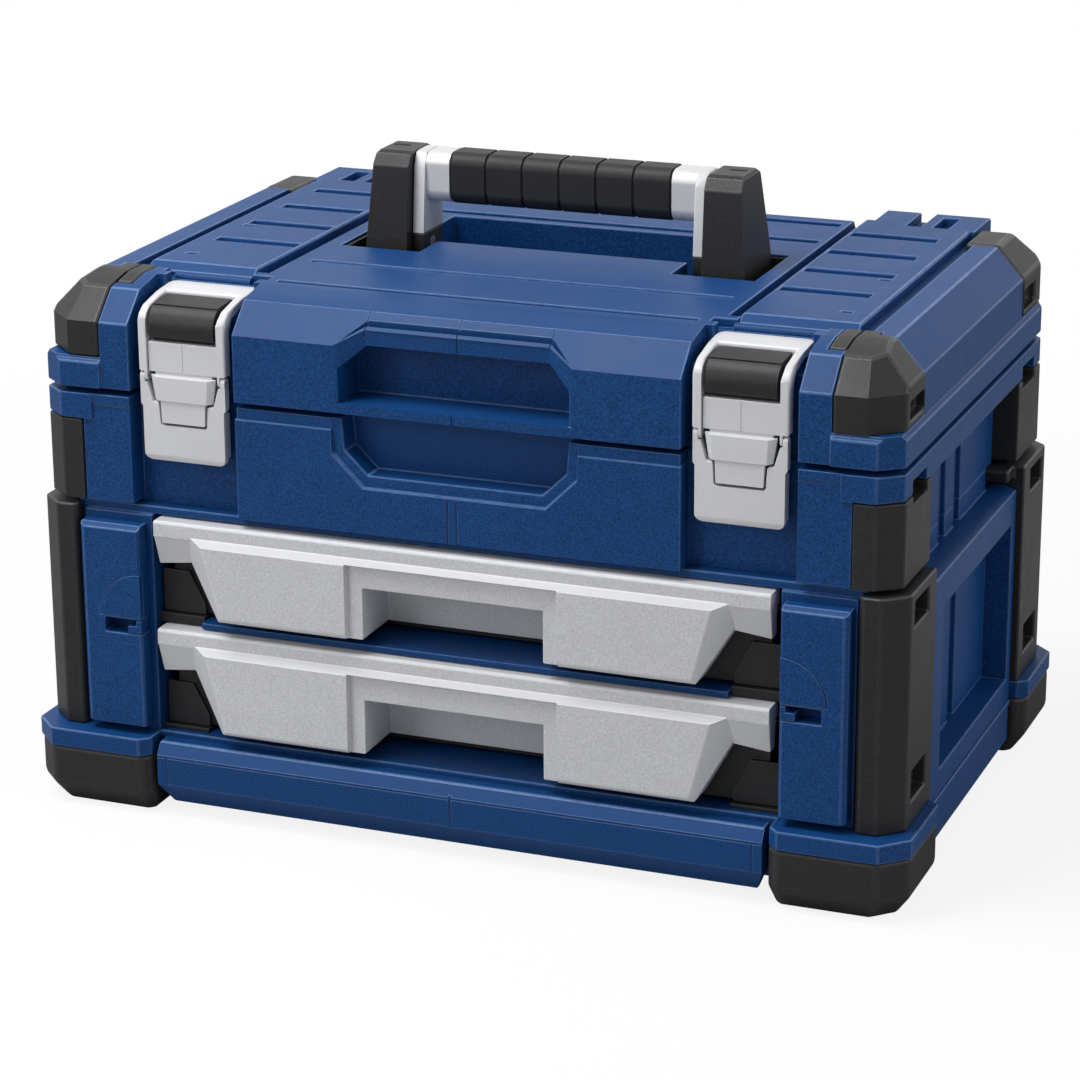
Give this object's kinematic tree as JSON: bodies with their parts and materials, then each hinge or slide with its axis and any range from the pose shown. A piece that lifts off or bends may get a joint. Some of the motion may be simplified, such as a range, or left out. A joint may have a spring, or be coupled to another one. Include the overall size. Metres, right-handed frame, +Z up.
{
  "type": "tool box",
  "caption": "Portable tool box: a lidded case with latches, finger hollows and a folding carry handle, on a housing with sliding drawers.",
  "frame": {"origin": "bottom centre of the box, on the floor plane under the feet", "axes": "+X to the right seen from the front, +Y from the drawer fronts to the back, +Z up"},
  "size_m": [0.45, 0.292, 0.3096],
  "materials": {
    "blue_plastic": "fine spark-eroded grain, deep blue",
    "black_plastic": "fine matte grain, charcoal",
    "foot_rubber": "matte moulded rubber",
    "grip_rubber": "matte moulded rubber with ring grooves",
    "drawer_front_grey": "coarse matte grain, light grey",
    "latch_grey": "satin, light grey",
    "handle_silver": "satin silver",
    "steel": "brushed"
  },
  "bodies": {
    "case": {"base_pan": "blue_plastic", "front_rail": "blue_plastic", "housing_shell": "blue_plastic", "divider_shelf": "blue_plastic", "rear_panel": "blue_plastic", "rear_panel_screws": "steel", "foot_front_left": "foot_rubber", "foot_front_right": "foot_rubber", "foot_rear_left": "foot_rubber", "foot_rear_right": "foot_rubber", "column_front_left": "black_plastic", "column_front_right": "black_plastic", "column_rear_left": "black_plastic", "column_rear_right": "black_plastic", "pillar_left": "blue_plastic", "pillar_right": "blue_plastic", "lock_sectors": "blue_plastic", "drawer_runners": "black_plastic", "upper_body": "blue_plastic", "body_bumper_front_left": "black_plastic", "body_bumper_front_right": "black_plastic", "body_bumper_rear_left": "black_plastic", "body_bumper_rear_right": "black_plastic", "latch_strikes": "steel", "hinge_pins": "steel"},
    "lid": {"lid_shell": "blue_plastic", "lid_bumper_front_left": "black_plastic", "lid_bumper_front_right": "black_plastic", "lid_bumper_rear_left": "black_plastic", "lid_bumper_rear_right": "black_plastic", "latch_base_left": "latch_grey", "latch_base_right": "latch_grey", "latch_pad_left": "black_plastic", "latch_pad_right": "black_plastic", "link_pins": "steel", "handle_post_left": "black_plastic", "handle_post_right": "black_plastic", "handle_sockets": "black_plastic", "post_screws": "steel"},
    "carry_handle": {"handle_grip": "grip_rubber", "handle_core": "steel", "handle_elbow_left": "handle_silver", "handle_elbow_right": "handle_silver", "handle_knuckles": "black_plastic", "handle_pivot_pins": "steel"},
    "left_link": {"link_frame_left": "latch_grey", "lever_pins_left": "steel"},
    "right_link": {"link_frame_right": "latch_grey", "lever_pins_right": "steel"},
    "left_lever": {"latch_lever_left": "latch_grey"},
    "right_lever": {"latch_lever_right": "latch_grey"},
    "upper_drawer": {"tray_upper": "black_plastic", "front_upper": "drawer_front_grey"},
    "lower_drawer": {"tray_lower": "black_plastic", "front_lower": "drawer_front_grey"},
    "left_lock": {"lock_tab_left": "blue_plastic"},
    "right_lock": {"lock_tab_right": "blue_plastic"}
  },
  "joints": [
    {"name": "lid_hinge", "type": "hinge", "parent": "case", "child": "lid", "pos_m": [0, 0.1395, 0.2122], "axis": [-1, 0, 0], "range_deg": [0, 95]},
    {"name": "handle_fold", "type": "hinge", "parent": "lid", "child": "carry_handle", "pos_m": [0, 0.014, 0.262], "axis": [-1, 0, 0], "range_deg": [0, 90]},
    {"name": "left_link_turn", "type": "hinge", "parent": "lid", "child": "left_link", "pos_m": [-0.1395, -0.0952, 0.2572], "axis": [-1, 0, 0], "range_deg": [0, 100]},
    {"name": "right_link_turn", "type": "hinge", "parent": "lid", "child": "right_link", "pos_m": [0.1395, -0.0952, 0.2572], "axis": [-1, 0, 0], "range_deg": [0, 100]},
    {"name": "left_lever_turn", "type": "hinge", "parent": "left_link", "child": "left_lever", "pos_m": [-0.1395, -0.1291, 0.2217], "axis": [-1, 0, 0], "range_deg": [0, 90]},
    {"name": "right_lever_turn", "type": "hinge", "parent": "right_link", "child": "right_lever", "pos_m": [0.1395, -0.1291, 0.2217], "axis": [-1, 0, 0], "range_deg": [0, 90]},
    {"name": "upper_drawer_slide", "type": "slide", "parent": "case", "child": "upper_drawer", "axis": [0, -1, 0], "range_m": [0, 0.18]},
    {"name": "lower_drawer_slide", "type": "slide", "parent": "case", "child": "lower_drawer", "axis": [0, -1, 0], "range_m": [0, 0.18]},
    {"name": "left_lock_slide", "type": "slide", "parent": "case", "child": "left_lock", "axis": [-1, 0, 0], "range_m": [0, 0.009]},
    {"name": "right_lock_slide", "type": "slide", "parent": "case", "child": "right_lock", "axis": [1, 0, 0], "range_m": [0, 0.009]}
  ]
}
